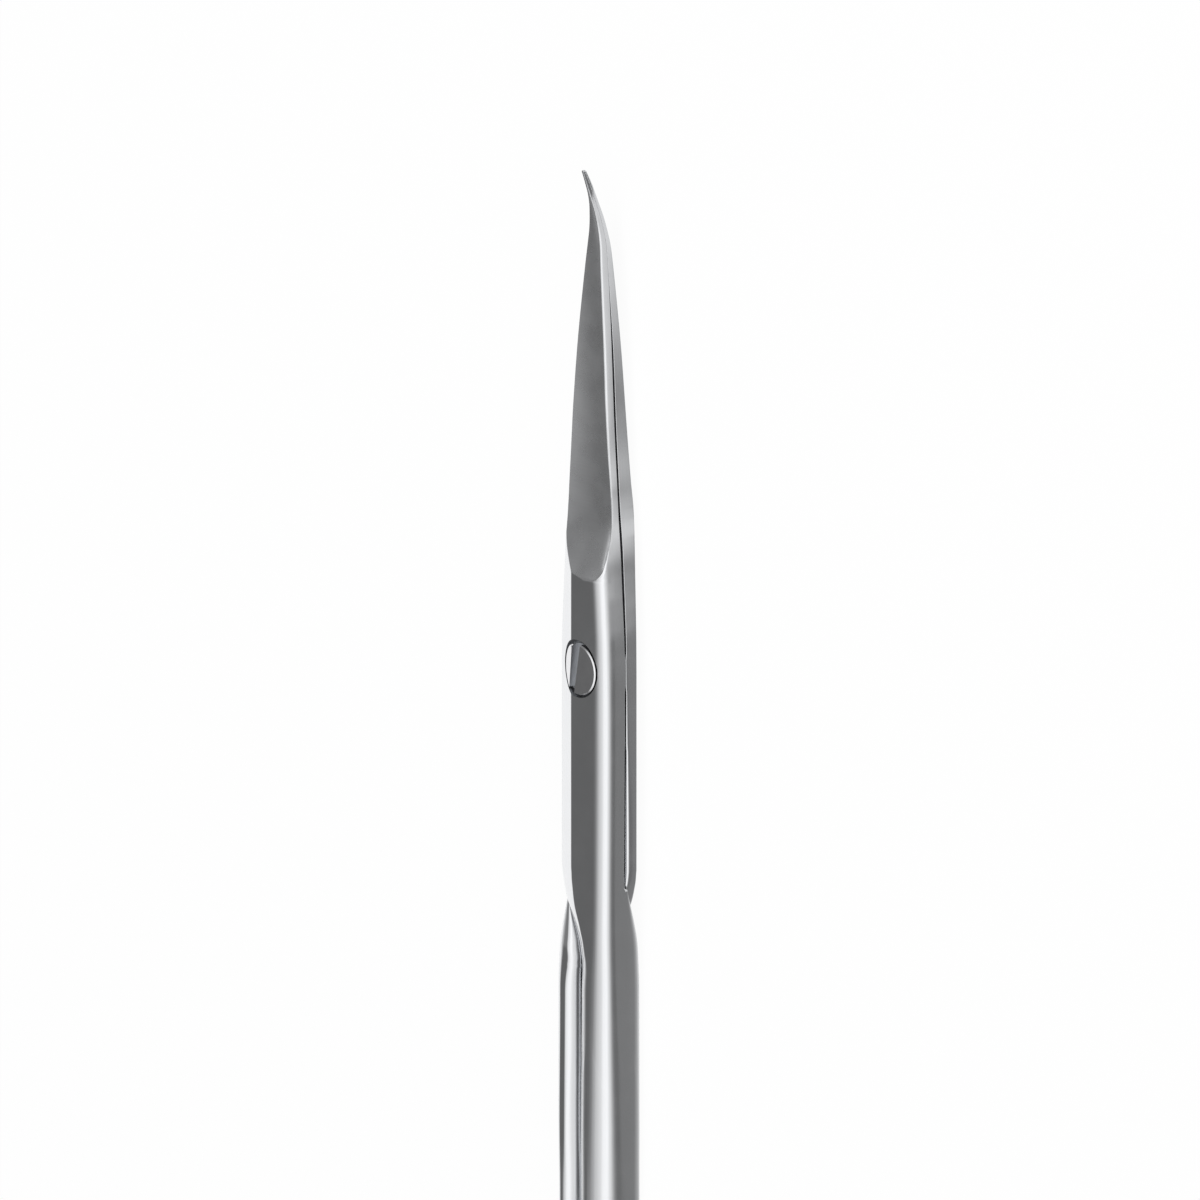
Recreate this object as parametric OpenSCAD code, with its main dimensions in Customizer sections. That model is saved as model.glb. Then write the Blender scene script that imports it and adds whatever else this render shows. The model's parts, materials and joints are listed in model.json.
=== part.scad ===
// Cuticle scissors, closed and lying flat with the screw side up.
// +Y runs along the blades to the tips, +X to the finger ring of the near arm, +Z up.
// The origin is under the middle of the whole tool, on the plane it rests on.
// Each arm is drawn about the pivot: x across, y along the blade, z from the plane where the arms meet.

/* [Blades] */
// Pivot to the tips
blade_len = 34.3; // [28:0.1:42]
// Width of each arm across the pivot
joint_w = 5.46; // [5:0.02:7]
// Thickness of one arm at the pivot
arm_t = 1.91; // [1.7:0.01:2.4]
// Height of the ridge above the cutting edge
ridge_h = 0.6; // [0.4:0.02:0.8]
// Greatest thickness of a blade at its spine
spine_h = 1.34; // [1:0.02:1.6]
// Pivot to where the ground facet runs out
facet_y = 6; // [4:0.1:8]
// Length of the tips that curves upwards
curl_len = 5.7; // [3:0.1:9]
// Height that the tips curve up
curl_rise = 1.38; // [0:0.02:1.6]

/* [Arms] */
// Angle of the long facet along the far side
facet_angle = 24.8; // [15:0.1:35]
// Width of the round along the near side, at the pivot
round_w = 0.74; // [0.5:0.02:1]
// Height of the near side below that round, at the pivot
near_h = 0.75; // [0.5:0.01:1]
// Height of the far side below that facet
side_h = 0.96; // [0.7:0.01:1.2]
// Pivot to where the thin lap starts to thicken into the shank
shoulder_y = 13.8; // [11:0.1:17]
// Length over which the lap thickens
shoulder_len = 5.6; // [4:0.1:8]
// Width of one shank
shank_w = 2.5; // [2:0.05:3.2]
// Gap between the two shanks when closed
shank_gap = 0.26; // [0.15:0.01:0.6]
// Gap between an arm's shoulder and the edge of the other arm's lap
shoulder_gap = 0.15; // [0.1:0.01:0.4]
// Pivot to where the shanks start to spread
shank_len = 39; // [34:0.5:48]
// Width of the round along the outer side of a shank
shank_round_w = 1.5; // [1:0.05:1.7]
// Height of that round
shank_round_h = 1.1; // [0.8:0.05:1.4]
// Width of the round along the inner side of a shank
inner_round_w = 0.6; // [0.3:0.05:0.8]
// Height of that inner round
inner_round_h = 0.5; // [0.3:0.05:0.8]

/* [Finger rings] */
// Outside width of a ring
ring_w = 24; // [21:0.5:30]
// Outside length of a ring
ring_l = 29; // [26:0.5:36]
// Width of the ring's stock, seen from above
stock_w = 3; // [2.6:0.1:3.6]
// Width of the flat along the top and bottom of the stock
stock_flat = 0.8; // [0.4:0.1:1.2]
// Gap between the two rings when closed
ring_gap = 0.6; // [0.4:0.05:2]
// Length from the start of the spread to the ring's top
spread_len = 7.6; // [5:0.1:12]

/* [Pivot] */
// Diameter of the screw's head
head_d = 3.5; // [3:0.05:4.2]
// Depth of the head's seat below the flat of the near arm
head_t = 0.95; // [0.7:0.01:1.1]
// Diameter of the smooth shoulder that the near arm turns on
shoulder_d = 2.4; // [2.1:0.05:2.8]
// Diameter of the threaded end
thread_d = 2; // [1.6:0.05:2.2]
// Width of the driver slot
slot_w = 0.72; // [0.4:0.02:0.9]
// Depth of the driver slot
slot_d = 0.45; // [0.3:0.01:0.6]
// How far the slot lies off the head's middle
slot_off = 0.25; // [0:0.01:0.3]
// Turn of the slot from the length of the tool
slot_turn = 10; // [0:1:45]
// Radial clearance of the shoulder in its bore and of the thread in its hole
running_gap = 0.03; // [0.02:0.005:0.08]
// Clearance between the faces that rub on each other
ride_gap = 0.02; // [0.01:0.005:0.05]
// Clearance around the head in its seat
seat_gap = 0.22; // [0.1:0.01:0.3]
// How far the threaded end stops short of the far arm's outside
end_gap = 0.1; // [0.05:0.01:0.3]

/* [Hidden] */
steel = [0.78, 0.78, 0.79];
screw_steel = [0.7, 0.7, 0.72];
$fn = 48;

half_w = joint_w / 2;
shank_in = shank_gap / 2;
shank_out = shank_in + shank_w;
facet_rise = tan(facet_angle);
facet_w = (arm_t - side_h) / facet_rise;
lap_end = shoulder_y + 1.6 * shoulder_len;
ring_top = shank_len + spread_len;
ring_end = ring_top + ring_l;
ring_y = ring_top + ring_l / 2;
ring_x = (ring_gap + ring_w) / 2;
pivot_y = (ring_end - blade_len) / 2;

// Where the arms rub beside the pivot, and how deep the faces are relieved past that
ride_front = 2.2;
ride_back = 5;
relief_len = 0.5;
blade_hollow = 0.05;
lap_hollow = 0.08;

// How far the shoulder starts behind the end of the lap's full width, and how far it hangs down there
shoulder_lag = 0.3;
shoulder_drop = 0.1;

// How far the shank runs on inside the stock of its ring, and its half height at that end
reach = 10.4;
reach_h = 1.2;

// The ground facet's run-out: where it starts to rise at the ridge and how much later it does so at the spine,
// then where it ends, at its lowest point and how quickly that end curves away to both sides
run_ridge = 5;
run_lag = 2.4;
run_low = -0.5;
run_bow = 5;
run_mid = 0.35;
run_rise = 1.6;
run_power = 2.15;

// Spare length of every block that cuts, and of the forging before its tip is cut
beyond = 10;
past_tip = blade_len + 0.7;
ground_end = past_tip + 0.5;

// Shapes along the blade, as shares of its length against shares of the size they belong to
width_shape = [[0, 1], [0.06, 0.985], [0.19, 0.825], [0.25, 0.75], [0.31, 0.695], [0.47, 0.615],
               [0.64, 0.5], [0.79, 0.348], [0.845, 0.275], [0.88, 0.2], [0.907, 0.143], [0.933, 0.081],
               [0.957, 0.045], [1, 0.03]];
spine_shape = [[0.2, 0.9], [0.24, 0.93], [0.31, 1], [0.385, 0.91], [0.47, 0.784], [0.64, 0.59],
               [0.79, 0.38], [0.845, 0.3], [0.88, 0.246], [0.933, 0.19], [0.965, 0.17], [1, 0.11]];
ridge_shape = [[0.3, 1], [0.55, 0.95], [0.64, 0.93], [0.79, 0.85], [0.883, 0.62], [0.933, 0.43],
               [0.965, 0.37], [1, 0.22]];
lean_shape = [[0.15, 0], [0.36, 0.04], [0.42, 0.09], [0.48, 0.12], [0.56, 0.155], [0.72, 0.15], [0.845, 0.14],
              [0.883, 0.105], [0.914, 0.055], [1, 0.006]];

// Far edge of the lap, as shares of its way out from the shank, from the lap's end to its full width
lap_shape = [[0, 0], [0.29, 0.23], [0.43, 0.38], [0.665, 0.72], [0.9, 0.985], [1, 1]];

// Far edge and outer edge of the shank where it spreads into its ring
spread_far = [[-ring_top - reach, 1.65], [-ring_top - 3, 0.6], [-shank_len, shank_in]];
spread_near = [[-ring_top - reach, 3.2], [-ring_top - 6.5, 5], [-ring_top - 4.4, 6], [-ring_top - 3, 6.3],
               [-ring_top - 1.7, 6.1], [-ring_top - 1, 5.3], [-ring_top, shank_out + 1.6],
               [-ring_top + 1.7, shank_out + 0.7], [-ring_top + 4, shank_out + 0.2], [-shank_len, shank_out]];

function mix(a, b, t) = a + (b - a) * t;
function clamp01(t) = min(1, max(0, t));
function ease(t) = let(u = clamp01(t)) u * u * (3 - 2 * u);

// A smooth curve through points [x, y] that never overshoots them
function rise(p, i) = (p[i + 1][1] - p[i][1]) / (p[i + 1][0] - p[i][0]);
function knot(p, i) =
    i == 0 ? rise(p, 0)
    : i == len(p) - 1 ? rise(p, i - 1)
    : let(a = rise(p, i - 1), b = rise(p, i)) a * b <= 0 ? 0 : 2 * a * b / (a + b);
function span_at(p, x, i = 0) = i >= len(p) - 2 || x <= p[i + 1][0] ? i : span_at(p, x, i + 1);
function curve(p, x) =
    x <= p[0][0] ? p[0][1]
    : x >= p[len(p) - 1][0] ? p[len(p) - 1][1]
    : let(i = span_at(p, x), h = p[i + 1][0] - p[i][0], t = (x - p[i][0]) / h)
        (1 + 2 * t) * (1 - t) ^ 2 * p[i][1] + t * (1 - t) ^ 2 * h * knot(p, i)
        + t ^ 2 * (3 - 2 * t) * p[i + 1][1] + t ^ 2 * (t - 1) * h * knot(p, i + 1);

// Half width of the arm ahead of the pivot, and the height that the meeting plane curls up by
function half_at(y) = half_w * curve(width_shape, y / blade_len);
function curl(y) = curl_rise * max(0, (y - blade_len + curl_len) / curl_len) ^ 2;

// Far edge and near edge of the arm, from the tip back to the ring
function lap_share(y) = clamp01((-y - shoulder_y) / (lap_end - shoulder_y));
function far_at(y) =
    y > 0 ? -half_at(y)
    : y > -shank_len ? mix(shank_in, -half_w, curve(lap_shape, 1 - lap_share(y)))
    : curve(spread_far, y);
function near_at(y) =
    y > 0 ? half_at(y)
    : y > -shank_len ? mix(half_w, shank_out, ease((-y - ride_back) / (lap_end - ride_back)))
    : curve(spread_near, y);

// Top and underside of the forging before the lap is cut
function top_at(y) = mix(arm_t, reach_h, ease((-y - ring_top) / reach));
function under_at(y) = mix(shoulder_drop, top_at(y), ease((-y - shoulder_y - shoulder_lag) / shoulder_len));

// Corner sizes: the facet on the far side turns into a small round, the round on the near side grows wider
function facet_w_at(y) =
    y > 0 ? max(half_at(y) / 2, facet_w + half_at(y) - half_w)
    : mix(facet_w, inner_round_w, ease(lap_share(y)));
function facet_h_at(y) = mix(facet_w_at(y) * facet_rise, inner_round_h, ease(lap_share(y)));
function shank_share(y) = ease((-y - shoulder_y) / (shank_len - shoulder_y));
function round_w_at(y) = y > 0 ? min(round_w, half_at(y) * 0.6) : mix(round_w, shank_round_w, shank_share(y));
function round_h_at(y) = mix(arm_t - near_h, shank_round_h, shank_share(y));
function lean_at(y) = half_w * curve(lean_shape, y / blade_len);

// The cross-section at y, from the far side over the top to the near side and back underneath
far_steps = 3;
near_steps = 5;
function far_corner(y, u) =
    let(q = ease(lap_share(y)))
    [facet_w_at(y) * mix(u, 1 - cos(90 * u), q), facet_h_at(y) * mix(1 - u, 1 - sin(90 * u), q)];
function near_corner(y, u) = [round_w_at(y) * (1 - sin(90 * u)), round_h_at(y) * (1 - cos(90 * u))];
function half_section(y, top) = concat(
    [for (i = [0 : far_steps])
        let(c = far_corner(y, i / far_steps))
        [far_at(y) + c[0], top - c[1]]],
    [for (i = [0 : near_steps])
        let(c = near_corner(y, i / near_steps))
        [near_at(y) - lean_at(y) - c[0], top - c[1]]]);
function flip(list) = [for (i = [len(list) - 1 : -1 : 0]) list[i]];
function squash(half, k) = [for (p = half) [p[0], -p[1] * k]];
function section(y, bend) =
    let(
        top = half_section(y, top_at(y)),
        under = flip(squash(top, under_at(y) / top_at(y))),
        lift = bend * curl(y))
    [for (p = concat(top, [[near_at(y), 0]], under)) [p[0], y, p[1] + lift]];

// A solid through rings of points, whose two end faces fan out from the point numbered apex
module loft(rings, apex) {
    n = len(rings[0]);
    last = (len(rings) - 1) * n;
    sides = [for (i = [0 : n : last - n], j = [0 : n - 1])
        let(a = i + j, b = i + (j + 1) % n)
        each [[a, b + n, b], [a, a + n, b + n]]];
    first_end = [for (j = [0 : n - 1]) (apex + j) % n];
    last_end = [for (j = [n : -1 : 1]) last + (apex + j) % n];
    polyhedron([for (r = rings) each r], concat(sides, [first_end, last_end]));
}

// Places of the sections, closer together where the shape turns
function between(a, b, n) = [for (i = [0 : n - 1]) mix(a, b, i / n)];
stations = concat(
    between(-ring_top - reach, -ring_top - 3, 4),
    between(-ring_top - 3, -ring_top + 2, 8),
    between(-ring_top + 2, -shank_len, 3),
    between(-shank_len, -lap_end, 3),
    between(-lap_end, -shoulder_y, 12),
    [-shoulder_y, -ride_back],
    between(0, 0.7 * blade_len, 14),
    between(0.7 * blade_len, blade_len, 11),
    [past_tip]);

module forging(bend) {
    loft([for (y = stations) section(y, bend)], far_steps + near_steps + 2);
}

// The finger ring: an oval of rounded stock, flat along its top and bottom
ring_turns = 44;
quarter_steps = 3;
function stock_quarter(i) =
    let(a = 90 * i / quarter_steps) [stock_flat / 2 + (stock_w - stock_flat) / 2 * cos(a), arm_t * sin(a)];
stock = concat(
    [for (i = [0 : quarter_steps]) stock_quarter(i)],
    [for (i = [quarter_steps : -1 : 0]) [-stock_quarter(i)[0], stock_quarter(i)[1]]],
    [for (i = [1 : quarter_steps]) -stock_quarter(i)],
    [for (i = [quarter_steps : -1 : 1]) [stock_quarter(i)[0], -stock_quarter(i)[1]]]);
function ring_point(a, p) =
    let(rx = (ring_w - stock_w) / 2, ry = (ring_l - stock_w) / 2, out = [ry * cos(a), rx * sin(a)])
    let(shift = out / norm(out) * p[0])
    [ring_x + rx * cos(a) + shift[0], -ring_y + ry * sin(a) + shift[1], p[1]];
module finger_ring() {
    n = len(stock);
    points = [for (k = [0 : ring_turns - 1], p = stock) ring_point(360 * k / ring_turns, p)];
    faces = [for (k = [0 : ring_turns - 1], j = [0 : n - 1])
        let(a = k * n + j, b = k * n + (j + 1) % n, c = (a + n) % len(points), d = (b + n) % len(points))
        each [[a, b, d], [a, d, c]]];
    polyhedron(points, faces);
}

// What is cut away below the meeting plane: its side view, and its outline from above
curl_steps = 9;
module lap_side(bend) {
    g = ride_gap / 2;
    back = g + lap_hollow;
    front = g + blade_hollow;
    polygon(concat(
        [[-lap_end - beyond, -beyond], [-lap_end - beyond, back], [-ride_back - relief_len, back]],
        [[-ride_back, g], [ride_front, g], [ride_front + relief_len, front]],
        [[blade_len - 2 * curl_len, front]],
        [for (y = between(blade_len - curl_len, ground_end, curl_steps)) [y, g + bend * curl(y)]],
        [[ground_end, g + bend * curl(ground_end)]],
        [[ground_end, -beyond]]));
}
lap_steps = 12;
module lap_outline() {
    polygon(concat(
        [[-beyond, -lap_end - 1]],
        [for (y = between(-lap_end - 1, -shoulder_y, lap_steps)) [shoulder_gap - far_at(y), y]],
        [[half_w + shoulder_gap, -shoulder_y], [beyond, -shoulder_y + shoulder_gap]],
        [[beyond, blade_len + beyond], [-beyond, blade_len + beyond]]));
}
module lap_cut(bend) {
    intersection() {
        translate([0, 0, -beyond])
            linear_extrude(2 * beyond)
                lap_outline();
        translate([-beyond, 0, 0])
            rotate([90, 0, 90])
                linear_extrude(2 * beyond)
                    lap_side(bend);
    }
}

// What is ground away above the blade: a face sloping from the spine to the ridge, running out at the joint
function run_out(y, across) =
    let(
        first = facet_y + run_ridge - run_lag * across,
        last = facet_y + run_low + run_bow * (across - run_mid) ^ 2)
    run_rise * max(0, (first - y) / (first - last)) ^ run_power;
function ground_at(x, y) =
    let(w = half_at(y), across = (w - x) / (2 * w), s = y / blade_len)
    mix(ridge_h * curve(ridge_shape, s), spine_h * curve(spine_shape, s), across)
    + run_out(y, clamp01(across));
run_start = facet_y + run_low;
run_end = facet_y + run_ridge + 0.5;
facet_rows = concat(between(run_start, run_end, 9), between(run_end, ground_end, 15), [ground_end]);
facet_columns = 6;
facet_margin = 0.15;
facet_least = 0.8;
function facet_row(y, bend) =
    let(w = max(half_at(y) + facet_margin, facet_least), high = arm_t + 1)
    concat(
        [for (j = [0 : facet_columns])
            let(x = mix(-w, w, j / facet_columns))
            [x, y, min(ground_at(x, y), high) + bend * curl(y)]],
        [[w, y, arm_t + beyond], [-w, y, arm_t + beyond]]);
module facet_cut(bend) {
    loft([for (y = facet_rows) flip(facet_row(y, bend))], 0);
}

// One arm: forged shank and blade, with its finger ring
module arm(bend) {
    difference() {
        forging(bend);
        lap_cut(bend);
        facet_cut(bend);
        translate([-beyond, blade_len, -beyond])
            cube(2 * beyond);
    }
    finger_ring();
}

// The plane of the long facet, as a block that lies on it
module above_facet() {
    translate([-half_w, 0, side_h])
        rotate([0, -facet_angle, 0])
            translate([-beyond, -beyond, 0])
                cube([2 * beyond, 2 * beyond, beyond]);
}

module place() {
    translate([0, pivot_y, arm_t])
        children();
}

module near_arm() {
    color(steel)
        place()
            difference() {
                arm(1);
                translate([0, 0, -beyond])
                    cylinder(r = shoulder_d / 2 + running_gap, h = 2 * beyond);
                translate([0, 0, arm_t - head_t])
                    cylinder(r = head_d / 2 + seat_gap, h = beyond);
            }
}

module far_arm() {
    color(steel)
        place()
            rotate([0, 180, 0])
                difference() {
                    arm(-1);
                    translate([0, 0, -beyond])
                        cylinder(r = thread_d / 2 + running_gap, h = 2 * beyond);
                }
}

module pivot_screw() {
    color(screw_steel)
        place()
            difference() {
                union() {
                    translate([0, 0, end_gap - arm_t])
                        cylinder(r = thread_d / 2, h = arm_t);
                    translate([0, 0, ride_gap / 2])
                        cylinder(r = shoulder_d / 2, h = arm_t - head_t + ride_gap);
                    translate([0, 0, arm_t - head_t + ride_gap])
                        cylinder(r = head_d / 2, h = head_t - ride_gap);
                }
                above_facet();
                rotate([0, 0, -slot_turn])
                    translate([-slot_off - slot_w / 2, -beyond, arm_t - slot_d])
                        cube([slot_w, 2 * beyond, beyond]);
            }
}

near_arm();
far_arm();
pivot_screw();
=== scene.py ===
"""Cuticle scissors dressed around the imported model: forged arms, pivot screw, studio."""
import json
import math
from types import SimpleNamespace

import bmesh
import bpy
import numpy as np
from mathutils import Matrix, Vector


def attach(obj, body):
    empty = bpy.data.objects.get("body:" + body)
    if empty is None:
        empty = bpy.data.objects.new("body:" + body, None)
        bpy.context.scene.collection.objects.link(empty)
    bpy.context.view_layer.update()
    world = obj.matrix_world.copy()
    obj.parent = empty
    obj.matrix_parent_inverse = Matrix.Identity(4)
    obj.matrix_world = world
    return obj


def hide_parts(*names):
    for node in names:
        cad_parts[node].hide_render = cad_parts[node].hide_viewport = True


bl_info = {
    "name": "Cuticle scissors",
    "version": (1, 0, 0),
    "blender": (4, 5, 0),
    "location": "3D View > Sidebar > Scissors",
    "description": "Builds cuticle scissors piece by piece around their packed model",
    "category": "Add Mesh",
}

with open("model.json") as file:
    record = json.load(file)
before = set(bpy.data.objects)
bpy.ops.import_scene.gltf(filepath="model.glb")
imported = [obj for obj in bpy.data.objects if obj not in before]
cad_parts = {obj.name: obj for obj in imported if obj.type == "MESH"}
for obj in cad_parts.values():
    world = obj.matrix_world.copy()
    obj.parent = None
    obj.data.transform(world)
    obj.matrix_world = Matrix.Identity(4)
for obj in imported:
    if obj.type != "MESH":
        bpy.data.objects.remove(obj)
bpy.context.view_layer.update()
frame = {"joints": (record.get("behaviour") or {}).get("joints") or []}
# One millimetre in metres
MM = 0.001
PIVOT = Vector(next(j for j in frame["joints"] if j["name"] == "opening")["pos_m"])

# Shapes along the blade: shares of its length from the pivot, with the shares that its sizes have there
WIDTH_SHAPE = [(0, 1), (0.06, 0.985), (0.106, 0.955), (0.146, 0.925), (0.19, 0.893), (0.228, 0.866), (0.265, 0.828),
               (0.303, 0.776), (0.344, 0.733), (0.382, 0.7), (0.443, 0.642), (0.5, 0.597), (0.64, 0.5), (0.79, 0.348),
               (0.845, 0.275), (0.88, 0.2), (0.907, 0.143), (0.933, 0.081), (0.957, 0.045), (1, 0.03)]
# The two blades were ground by hand, so their spines differ a little: first the near arm's, then the far arm's
SPINE_SHAPES = [
    [(0.2, 0.66), (0.243, 0.69), (0.283, 0.735), (0.324, 0.755), (0.39, 0.77), (0.45, 0.77), (0.52, 0.72), (0.64, 0.59),
     (0.79, 0.38), (0.845, 0.3), (0.88, 0.246), (0.933, 0.19), (0.965, 0.17), (1, 0.11)],
    [(0.2, 0.88), (0.259, 0.93), (0.299, 0.973), (0.338, 0.936), (0.378, 0.868), (0.437, 0.814), (0.52, 0.73),
     (0.64, 0.59), (0.79, 0.38), (0.845, 0.3), (0.88, 0.246), (0.933, 0.19), (0.965, 0.17), (1, 0.11)]]
RIDGE_SHAPE = [(0.3, 1), (0.55, 0.95), (0.64, 0.93), (0.79, 0.85), (0.883, 0.62), (0.933, 0.43), (0.965, 0.37),
               (1, 0.22)]
LEAN_SHAPE = [(0.15, 0), (0.36, 0.04), (0.42, 0.09), (0.48, 0.12), (0.56, 0.155), (0.72, 0.15), (0.845, 0.14),
              (0.883, 0.105), (0.914, 0.075), (0.945, 0.07), (0.965, 0.055), (1, 0.04)]
# How far the far side has moved out from the shank to the joint's full width, by shares of the lap
LAP_SHAPE = [(0, 0), (0.2, 0.012), (0.286, 0.045), (0.364, 0.12), (0.442, 0.205), (0.52, 0.335), (0.576, 0.44),
             (0.635, 0.56), (0.688, 0.67), (0.754, 0.78), (0.833, 0.88), (0.92, 0.965), (1, 1)]


def mix(a, b, t):
    return a + (b - a) * t


def clamp01(t):
    return min(1.0, max(0.0, t))


def share(x, start, end):
    """How far x is on the way from start to end, from 0 to 1."""
    return clamp01((x - start) / (end - start))


def rising(x, start, end):
    """0 at start and 1 at end, smooth at both."""
    u = share(x, start, end)
    return u * u * (3 - 2 * u)


def curve(points, x):
    """Height at x of a smooth curve through points, which never overshoots them."""
    if x <= points[0][0]:
        return points[0][1]
    if x >= points[-1][0]:
        return points[-1][1]
    rise = [(b[1] - a[1]) / (b[0] - a[0]) for a, b in zip(points, points[1:])]
    i = next(k for k in range(len(rise)) if x <= points[k + 1][0])

    def slope(k):
        if k == 0 or k == len(rise):
            return rise[min(k, len(rise) - 1)]
        a, b = rise[k - 1], rise[k]
        return 0 if a * b <= 0 else 2 * a * b / (a + b)

    h = points[i + 1][0] - points[i][0]
    t = (x - points[i][0]) / h
    return ((1 + 2 * t) * (1 - t) ** 2 * points[i][1] + t * (1 - t) ** 2 * h * slope(i)
            + t * t * (3 - 2 * t) * points[i + 1][1] + t * t * (t - 1) * h * slope(i + 1))


def hex_colour(code):
    """Linear colour, with alpha, of an sRGB hex code."""
    parts = [int(code[i:i + 2], 16) / 255 for i in (1, 3, 5)]
    return tuple(c / 12.92 if c <= 0.04045 else ((c + 0.055) / 1.055) ** 2.4 for c in parts) + (1.0,)


def length(name, description, mm):
    """A size, written in millimetres and kept in metres."""
    return bpy.props.FloatProperty(name=name, description=description, default=mm * MM, min=0.0, precision=4,
                                   subtype="DISTANCE")


def angle(name, description, degrees):
    """An angle, written in degrees and kept in radians."""
    return bpy.props.FloatProperty(name=name, description=description, default=math.radians(degrees),
                                   subtype="ANGLE")


def finish_colour(name, description, code):
    """A colour, written as an sRGB hex code and kept linear."""
    return bpy.props.FloatVectorProperty(name=name, description=description, default=hex_colour(code), min=0.0,
                                         max=1.0, size=4, subtype="COLOR")


class ScissorSizes(bpy.types.PropertyGroup):
    """Sizes of the scissors, measured from the pivot and the plane where the arms meet."""
    blade_len: length("Blade", "Pivot to the tips", 34.3)
    joint_w: length("Joint width", "Width of an arm across the pivot", 5.46)
    arm_t: length("Arm thickness", "Thickness of one arm at the pivot", 1.91)
    ridge_h: length("Ridge height", "Ridge above the cutting edge", 0.6)
    spine_h: length("Spine height", "Greatest height of the spine", 1.34)
    facet_y: length("Ground face start", "Pivot to the ground face", 6.0)
    curl_len: length("Curl length", "Length of the curved tips", 5.7)
    curl_rise: length("Curl rise", "Height that the tips curve up", 1.38)
    facet_angle: angle("Facet angle", "Slope of the long facet", 24.8)
    side_h: length("Far side", "Height of the far side", 0.96)
    round_w: length("Round width", "Round along the near side", 1.15)
    near_h: length("Near side", "Height of the near side", 0.9)
    shoulder_y: length("Shoulder", "Pivot to the shoulder", 13.8)
    shoulder_len: length("Shoulder length", "Length of the shoulder", 5.6)
    shank_w: length("Shank width", "Width of one shank", 2.5)
    shank_gap: length("Shank gap", "Gap between the shanks", 0.26)
    shoulder_gap: length("Shoulder gap", "Gap beside the lap", 0.15)
    shank_len: length("Shank length", "Pivot to the spread", 39.0)
    ring_w: length("Ring width", "Outside width of a ring", 24.0)
    ring_l: length("Ring length", "Outside length of a ring", 29.0)
    stock_w: length("Ring stock", "Width of the ring's stock", 3.0)
    ring_gap: length("Ring gap", "Gap between the rings", 0.6)
    spread_len: length("Spread", "Start of the spread to the ring", 7.6)
    ride_gap: length("Ride gap", "Gap between the rubbing faces", 0.02)
    seat_r: length("Seat radius", "Radius of the head's seat", 1.98)
    seat_z: length("Seat floor", "Height of the seat's floor", 0.96)
    bore_r: length("Bore radius", "Radius of the near arm's bore", 1.23)
    hole_r: length("Hole radius", "Radius of the far arm's hole", 1.03)
    head_r: length("Head radius", "Radius of the screw's head", 1.75)
    neck_r: length("Neck radius", "Radius of the screw's shoulder", 1.2)
    end_r: length("End radius", "Radius of the screw's threaded end", 1.0)
    end_gap: length("End gap", "Depth of the screw's end in its hole", 0.1)
    slot_w: length("Slot width", "Width of the screw's slot", 0.72)
    slot_d: length("Slot depth", "Depth of the screw's slot", 0.45)
    slot_off: length("Slot offset", "Slot's distance off centre", 0.42)
    slot_turn: angle("Slot turn", "Slot's turn", 10.0)


class ScissorFinish(bpy.types.PropertyGroup):
    """Colours of the finishes."""
    buffed: finish_colour("Buffed steel", "Colour of the forged arms", "#dcdddf")
    ground: finish_colour("Ground steel", "Colour of the blades' faces", "#dcdddf")
    # The holes' and the slot's colour is set darker than the steel outside: painted shade in those recesses
    bored: finish_colour("Bored steel with painted shade", "Colour in the holes, darkened as painted shade", "#b9bbbe")
    turned: finish_colour("Turned steel", "Colour of the screw", "#dadadc")
    paper: finish_colour("Floor", "Colour of the floor", "#f4f4f4")


def plain(sizes):
    """The sizes as plain numbers: lengths in millimetres, angles in radians."""
    kinds = sizes.bl_rna.properties
    return SimpleNamespace(**{name: getattr(sizes, name) / (MM if kinds[name].subtype == "DISTANCE" else 1)
                              for name in sizes.__annotations__})


# The next numbers are millimetres unless they are shares. Pairs are stretches along an arm from the pivot, towards
# the rings, or towards the tips for the blade
# How far the lap's curve runs past the shoulder, in lengths of the shoulder
LAP_RUN = 1.6
# Where the near side starts to narrow towards the shank
NARROWS_AT = 5
# How much wider the far arm's shank is, where it gets wider and where that ends
FAR_WIDER, WIDENS, WIDE_ENDS = 0.12, (16, 22), (38, 30)
# Where the inner wall goes beside the ring, and the length it takes
WEB_X, WEB_RUN = 0.5, 9
# Depth at which the shank's underside starts, and how far past the shoulder
UNDER_START, UNDER_LATE = 0.1, 0.3
# Width and height of the shank's upper rounds, and the share of the lap in which the facet turns into the first
FAR_ROUND, NEAR_ROUND, FACET_TURN = (1.05, 0.85), (1.6, 1.8), 0.62
# How much narrower the near side's round is at the blade, where that starts, and its greatest share of the half width
ROUND_LESS, ROUND_NARROWS, ROUND_PART = 0.13, (4, -3), 0.6
# How hollow the ground face is, as a share of its half width
GROUND_HOLLOW = 0.28
# Where the ground face starts to rise on the near side, how much nearer on the far side, and how far it rises
RUN_OUT, RUN_OUT_SLANT, RUN_OUT_RISE = 6.6, 2.4, 1.6
# Where it has risen, how much sooner at the far side, and between which shares of its width
RISEN, RISEN_FAR, FAR_PART = 0.08, 0.5, (0.4, 0.9)
# The same at the near side: how much sooner for each share of the width, in its last share
RISEN_NEAR, NEAR_PART = 16, 0.06
# Depth of the inner faces' relief and where it starts, with more behind the pivot and more along the blade
RELIEF, RELIEF_STARTS = 0.05, (0.9, 1.4)
RELIEF_BEHIND, BEHIND_STARTS = 0.03, (5, 5.5)
RELIEF_BLADE, BLADE_STARTS, RELIEF_ENDS = 0.025, (2, 5), (28, 20)


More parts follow.
